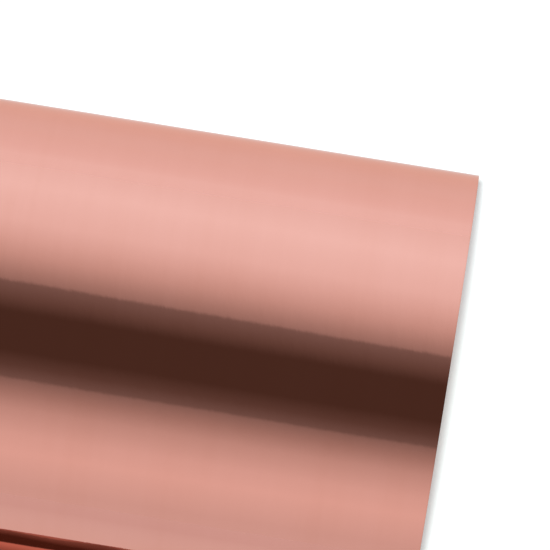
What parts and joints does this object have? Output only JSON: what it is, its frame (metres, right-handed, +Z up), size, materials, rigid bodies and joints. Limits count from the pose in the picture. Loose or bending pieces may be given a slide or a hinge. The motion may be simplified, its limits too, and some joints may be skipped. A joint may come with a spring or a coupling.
{
  "type": "copper foil tape roll",
  "caption": "Wide roll of adhesive-backed copper foil tape on a paperboard core, its end drawn out and lifted off the release liner.",
  "frame": {"origin": "middle of the footprint, on the surface that the roll and its drawn-out end lie on", "axes": "+X along the roll's axis, -Y the way the tape's end runs out, +Z up"},
  "size_m": [0.1016, 0.162, 0.08],
  "materials": {
    "copper_foil": "satin",
    "wound_edges": "matte",
    "release_liner": "satin",
    "adhesive": "gloss",
    "paperboard_core": "matte",
    "starter_strip": "matte"
  },
  "bodies": {
    "roll": {"core_tube": "paperboard_core", "core_starter_strip": "starter_strip", "wound_pack": "wound_edges"},
    "outer_turn": {"foil_outer_turn": "copper_foil", "liner_outer_turn": "release_liner"},
    "tail": {"foil_tail": "copper_foil", "liner_tail": "release_liner"},
    "foil_flap": {"foil_end": "copper_foil", "adhesive_coat": "adhesive"}
  },
  "joints": [
    {"name": "unwind", "type": "hinge", "parent": "roll", "child": "outer_turn", "pos_m": [0, 0.041, 0.03998], "axis": [-1, 0, 0], "continuous": true},
    {"name": "tail_lift", "type": "hinge", "parent": "outer_turn", "child": "tail", "pos_m": [0, 0.00102, 0.04129], "axis": [-1, 0, 0], "range_deg": [0, 70]},
    {"name": "foil_peel", "type": "hinge", "parent": "tail", "child": "foil_flap", "pos_m": [0, -0.04498, 0.001], "axis": [-1, 0, 0], "range_deg": [-8, 75]}
  ]
}
